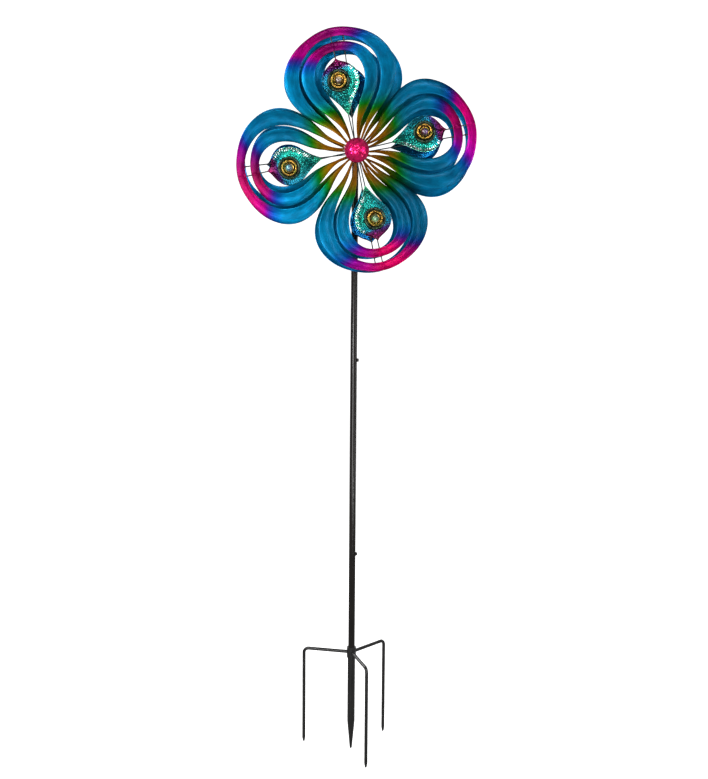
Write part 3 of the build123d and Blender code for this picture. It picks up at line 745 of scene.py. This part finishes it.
def jewel_mesh(side, k):
    w0 = EYE_APEX * 1000 + 3.4
    pts = [(8.55, w0), (8.6, w0 + 1.2), (8.5, w0 + 2.4), (8.1, w0 + 4.0), (7.3, w0 + 5.5), (6.0, w0 + 6.9), (4.4, w0 + 7.9),
           (2.6, w0 + 8.5), (1.2, w0 + 8.75), (0.0, w0 + 8.8)]
    sm = smooth_profile(pts, 4)
    sm[-1] = (0.0, w0 + 8.8)
    prof = [(0.0, w0 - 0.2), (8.3, w0 - 0.2)] + [tuple(p) for p in sm]
    V, F, idx = lathe([(max(r, 0) / 1000, w / 1000) for r, w in prof], 72)
    V[:, 0] += EYE_X
    V[:, 1] += EYE_Y
    # painted highlight: each jewel is graded from a dark tint through its glass colour to a pale painted highlight
    # towards its outer side
    jewel_tints_to_highlight = {0: [(42, 2, 58), (84, 28, 130), (92, 4, 30)], 1: [(70, 44, 22), (214, 200, 170), (60, 36, 20)],
             2: [(8, 90, 116), (110, 190, 200), (20, 60, 60)], 3: [(20, 96, 40), (150, 190, 140), (30, 60, 24)]}[k]
    t = (V[:, 1] - EYE_Y) / 0.0086 * 0.5 + 0.5 + 0.25 * ((V[:, 0] - EYE_X) / 0.0086)
    C = keyed(t, [(0, jewel_tints_to_highlight[2]), (0.5, jewel_tints_to_highlight[0]), (1.0, jewel_tints_to_highlight[1])])
    return place(tilt(V, TILT[side]), side, k), F, np.clip(C, 0, 1)


def merge(parts):
    V, F, extra, base = [], [], [], 0
    for p in parts:
        V.append(p[0])
        F += [tuple(i + base for i in f) for f in p[1]]
        extra.append(p[2])
        base += len(p[0])
    return np.vstack(V), F, extra


for side in ("front", "rear"):
    V, F, mi = merge([boss_mesh(side, k) for k in range(4)])
    make("%s_eye_bosses" % side, V, F, [RING_DARK, RING_GOLD], BODY[side], ["%s_eye_rings" % side],
         mat_index=sum(mi, []))
    V, F, C = merge([jewel_mesh(side, k) for k in range(4)])
    make("%s_cabochons" % side, V, F, JEWELS, BODY[side], ["%s_eye_jewels" % side], np.vstack(C))


# ------------------------------------------------------------------ hammered dome
def dome_mesh():
    r_o = DOME_HI.x - HUB_X
    h = DOME_HI.y - DOME_LO.y
    rc = (r_o ** 2 + h ** 2) / (2 * h)
    th = 0.0012
    seg, rows = 180, 46
    amax = math.asin(r_o / rc)
    outer, inner = [], []
    for q in range(rows):
        a = amax * (1 - q / rows)
        outer.append((rc * math.sin(a), rc * math.cos(a) - (rc - h)))
    rin, hin = r_o - th, h - th
    rci = (rin ** 2 + hin ** 2) / (2 * hin)
    amin = math.asin(rin / rci)
    for q in range(12, -1, -1):
        a = amin * q / 12
        inner.append((max(rci * math.sin(a), 0), rci * math.cos(a) - (rci - hin)))
    inner = [(r, max(w, 0.0)) for r, w in inner]
    inner = inner[::-1]
    prof = inner + outer + [(0.0, h)]
    V, F, idx = lathe([(r if r > 1e-6 else 0.0, w) for r, w in prof], seg)
    rim_start = len(inner)
    # blow marks on the outer skin only
    n_in = 1 + (len(inner) - 1) * seg
    o = V[n_in:]
    seeds = scatter((-0.034, -0.034), (0.034, 0.034), 0.0074, 5)
    hb = blows(o[:, :2], seeds, 0.0056, 0.00075, 6)
    rr = np.hypot(o[:, 0], o[:, 1])
    fade = np.clip((r_o - 0.0014 - rr) / 0.0016, 0, 1)
    nrm = np.column_stack([o[:, 0], o[:, 1], o[:, 2] + (rc - h)]) / rc
    V[n_in:] = o + nrm * (hb * fade)[:, None]
    W = np.column_stack([HUB_X + V[:, 0], DOME_HI.y - V[:, 2], HUB_Z + V[:, 1]])
    return W, F


V, F = dome_mesh()
make("front_hammered_dome", V, F, DOME, "front_rotor", ["front_dome_cap"])


# ------------------------------------------------------------------ weld beads behind the rods
def bead(centre, radii, seed):
    r = np.random.default_rng(seed)
    V, F = [], []
    nu, nv = 14, 9
    V.append((0, 0, 1.0))
    for i in range(1, nv):
        b = math.pi * i / nv
        for j in range(nu):
            a = 2 * math.pi * j / nu
            q = 1 + 0.10 * math.sin(3 * a + seed) * math.sin(b) + 0.06 * r.standard_normal()
            V.append((math.sin(b) * math.cos(a) * q, math.sin(b) * math.sin(a) * q, math.cos(b) * q))
    V.append((0, 0, -1.0))
    for j in range(nu):
        F.append((0, 1 + j, 1 + (j + 1) % nu))
        F.append((len(V) - 1, 1 + (nv - 2) * nu + (j + 1) % nu, 1 + (nv - 2) * nu + j))
    for i in range(nv - 2):
        for j in range(nu):
            a, b = 1 + i * nu + j, 1 + i * nu + (j + 1) % nu
            F.append((a, a + nu, b + nu, b))
    return np.array(V) * np.array(radii) + np.array(centre), F


for side in ("front", "rear"):
    parts = []
    for k in range(4):
        for n, (y, w) in enumerate(((0.0936, 0.0009), (0.2242, 0.0028), (0.2505, -0.0014), (0.2698, -0.0014),
                                    (0.2861, -0.0014))):
            Vb, Fb = bead((0.0, y, w - 0.0016), (0.0023, 0.0036, 0.0013), 7 * k + n)
            parts.append((place(Vb, side, k), Fb, 0))
        for sgn in (-1, 1):
            a = math.radians(34 * sgn)
            Vb, Fb = bead((0.0208 * math.sin(a), 0.0208 * math.cos(a), -0.0022), (0.0030, 0.0022, 0.0016), 90 + k * 2 + sgn)
            parts.append((place(Vb, side, k), Fb, 0))
    V, F, _ = merge(parts)
    make("%s_weld_beads" % side, V, F, WELD, BODY[side], ())

# ------------------------------------------------------------------ carried-over CAD nodes
for name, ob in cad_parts.items():
    if ob.hide_render:
        continue
    if name.endswith("support_rods"):
        mat = RODS
    elif name.endswith(("hub_plate", "hub_sleeve")) or name == "front_cap_clip":
        mat = HUB
    elif name.endswith("bushes"):
        mat = NYLON
    elif name in ("pole_lower", "pole_middle", "pole_upper"):
        mat = POLE
    elif name == "pole_joint_screws":
        mat = SCREW
    elif name == "pole_top_plug":
        mat = PLUG
    elif name in ("ground_stake", "stake_collar", "prong_front", "prong_left", "prong_right"):
        mat = BASE
    elif name == "axle_socket":
        mat = POLE
    else:
        mat = ZINC
    ob.data.materials.clear()
    ob.data.materials.append(mat)

# ------------------------------------------------------------------ stage
FLOOR_Z = size_before[0][2] - 0.004


def stage_material():
    m = Nodes("stage_white")
    a = m.noise(m.coords(), 3.0, 3.0, 0.5)
    m.set(color=m.mix(m.span(a, 0, 1, 0.3, 0.7), (0.88, 0.88, 0.88), (0.91, 0.91, 0.91)), rough=0.9, spec=0.1)
    m.b.inputs["Emission Color"].default_value = (1.0, 1.0, 1.0, 1.0)
    m.b.inputs["Emission Strength"].default_value = 0.72
    return m.mat


def sweep_mesh():
    """Floor that curves up into a backdrop, closed all round as a shallow bowl."""
    prof = [(0.0, 0.0)]
    for r in (0.4, 0.8, 1.4, 2.2, 3.2, 4.4, 5.4):
        prof.append((r, 0.0))
    for i in range(1, 11):
        a = math.pi / 2 * i / 10
        prof.append((5.4 + 1.6 * math.sin(a), 1.6 * (1 - math.cos(a))))
    prof.append((7.0, 6.5))
    V, F, _ = lathe(prof, 96)
    V[:, 2] += FLOOR_Z
    return V, F


V, F = sweep_mesh()
me = bpy.data.meshes.new("stage_sweep")
me.from_pydata([tuple(v) for v in V], [], F)
me.polygons.foreach_set("use_smooth", np.ones(len(me.polygons), bool))
me.materials.append(stage_material())
floor = bpy.data.objects.new("stage_sweep", me)
scene.collection.objects.link(floor)
floor.visible_glossy = False
floor.visible_diffuse = False
floor.visible_shadow = False

# ------------------------------------------------------------------ light
world = bpy.data.worlds.new("studio")
world.use_nodes = True
world.node_tree.nodes["Background"].inputs[0].default_value = (1.0, 1.0, 1.0, 1.0)
world.node_tree.nodes["Background"].inputs[1].default_value = 0.40
scene.world = world


def softbox(name, loc, aim, size, size_y, power, color=(1, 1, 1)):
    d = bpy.data.lights.new(name, "AREA")
    d.shape = "RECTANGLE"
    d.size, d.size_y = size, size_y
    d.energy = power
    d.color = color
    o = bpy.data.objects.new(name, d)
    scene.collection.objects.link(o)
    o.location = loc
    o.rotation_mode = "QUATERNION"
    o.rotation_quaternion = (Vector(aim) - Vector(loc)).to_track_quat("-Z", "Y")
    return o


softbox("key_left", (-2.0, -1.75, 2.05), (0, 0, 1.3), 0.55, 1.5, 42)
softbox("strip_right", (2.1, -1.4, 1.2), (0, 0, 0.9), 0.30, 2.6, 16)
softbox("strip_front", (0.95, -3.3, 1.75), (0, 0, 1.2), 0.28, 1.3, 14)
softbox("low_front", (-1.1, -3.8, 0.35), (0, 0, 1.1), 2.2, 1.3, 60)
for n, loc in enumerate(((0.7, -2.3, -0.05), (1.7, -1.9, 1.75), (0.25, -1.9, 2.75), (-1.3, -2.1, 0.75), (-0.5, -1.7, 2.3))):
    softbox("sparkle_%d" % n, loc, (0, 0, 1.34), 0.24, 0.24, 5.0)
softbox("back_left", (-1.8, 2.2, 1.9), (0, 0, 1.1), 1.2, 2.0, 45)
softbox("back_right", (1.9, 2.0, 1.0), (0, 0, 1.1), 0.5, 2.4, 25)

# ------------------------------------------------------------------ camera
cam_data = bpy.data.cameras.new("camera")
cam_data.sensor_width = 36.0
cam_data.lens = 999.565 * 36.0 / 779.0
cam_data.clip_start, cam_data.clip_end = 0.05, 60.0
cam = bpy.data.objects.new("camera", cam_data)
scene.collection.objects.link(cam)
yaw, pit, roll = map(math.radians, (2.135, 4.928, 0.441))
fwd = Vector((math.sin(yaw) * math.cos(pit), math.cos(yaw) * math.cos(pit), -math.sin(pit)))
right = Vector((math.cos(yaw), -math.sin(yaw), 0.0))
up = right.cross(fwd)
cx = right * math.cos(roll) + up * math.sin(roll)
cy = up * math.cos(roll) - right * math.sin(roll)
rot = Matrix((cx, cy, -fwd)).transposed()
cam.matrix_world = Matrix.Translation((-0.0975, -2.6545, 0.9624)) @ rot.to_4x4()
scene.camera = cam

scene.view_settings.view_transform = "Standard"
scene.view_settings.look = "None"
scene.view_settings.exposure = 0.0
scene.view_settings.gamma = 1.0
